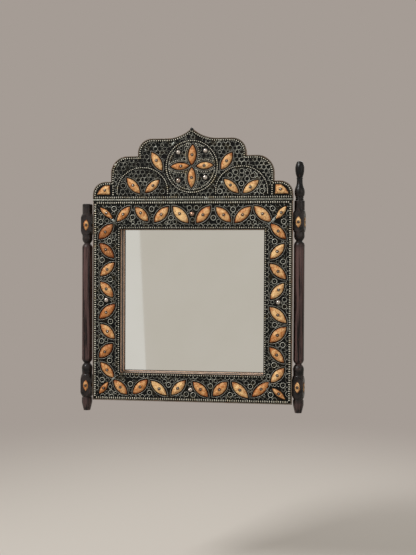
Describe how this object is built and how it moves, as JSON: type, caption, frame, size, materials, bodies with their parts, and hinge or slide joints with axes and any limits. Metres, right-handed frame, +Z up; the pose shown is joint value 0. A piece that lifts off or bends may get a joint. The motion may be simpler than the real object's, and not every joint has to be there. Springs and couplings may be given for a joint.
{
  "type": "wall mirror",
  "caption": "Square wall mirror in a wooden frame with a stepped crest, faced in patterned metal set with bone leaves, between turned side posts; hangs by a swinging ring.",
  "frame": {"origin": "centre of the back panel's back face, on the plane of the wall", "axes": "+Z up, +X to the viewer's right, +Y into the wall"},
  "size_m": [0.4529, 0.0366, 0.568],
  "materials": {
    "frame_wood": "stained, dull",
    "crest_wood": "stained, dull",
    "panel_wood": "raw",
    "peg_wood": "raw",
    "post_wood": "ebonised, worn",
    "dark_sheet": "dark patina",
    "raised_metal": "rubbed patina",
    "stud_metal": "rubbed patina",
    "dyed_bone": "dyed, waxed",
    "nail_metal": "tarnished",
    "mirror": "silvered",
    "paper": "matte",
    "fastener_steel": "plain",
    "hanger_iron": "dark"
  },
  "bodies": {
    "mirror": {"top_rail": "frame_wood", "bottom_rail": "frame_wood", "left_stile": "frame_wood", "right_stile": "frame_wood", "corner_keys": "peg_wood", "crest_board": "crest_wood", "crest_dowels": "peg_wood", "left_crest_batten": "frame_wood", "right_crest_batten": "frame_wood", "batten_screws": "fastener_steel", "mirror_glass": "mirror", "backing_paper": "paper", "back_panel": "panel_wood", "panel_pins": "fastener_steel", "crest_sheet": "dark_sheet", "top_sheet": "dark_sheet", "bottom_sheet": "dark_sheet", "left_sheet": "dark_sheet", "right_sheet": "dark_sheet", "seam_wire": "raised_metal", "crest_edge_wire": "raised_metal", "frame_edge_wires": "raised_metal", "outer_bead_rows": "raised_metal", "inner_bead_rows": "raised_metal", "crest_bead_row": "raised_metal", "crest_base_bead_row": "raised_metal", "crest_bead_circle": "raised_metal", "crest_bead_arches": "raised_metal", "top_leaf_bezels": "raised_metal", "bottom_leaf_bezels": "raised_metal", "left_leaf_bezels": "raised_metal", "right_leaf_bezels": "raised_metal", "crest_leaf_bezels": "raised_metal", "top_bone_leaves": "dyed_bone", "bottom_bone_leaves": "dyed_bone", "left_bone_leaves": "dyed_bone", "right_bone_leaves": "dyed_bone", "corner_bone_leaves": "dyed_bone", "crest_flower_petals": "dyed_bone", "crest_upper_leaves": "dyed_bone", "crest_lower_leaves": "dyed_bone", "crest_corner_fans": "dyed_bone", "frame_bone_nails": "nail_metal", "crest_bone_nails": "nail_metal", "frame_studs": "stud_metal", "crest_studs": "stud_metal", "frame_rings": "raised_metal", "left_post": "post_wood", "right_post": "post_wood", "right_finial": "post_wood", "left_post_lozenges": "dyed_bone", "right_post_lozenges": "dyed_bone", "lozenge_nails": "nail_metal", "post_dowels": "peg_wood", "hanger_staple": "hanger_iron"},
    "ring": {"hanging_ring": "hanger_iron"}
  },
  "joints": [
    {"name": "ring_swing", "type": "hinge", "parent": "mirror", "child": "ring", "pos_m": [0, -0.0155, 0.304], "axis": [1, 0, 0], "range_deg": [0, 180]}
  ]
}
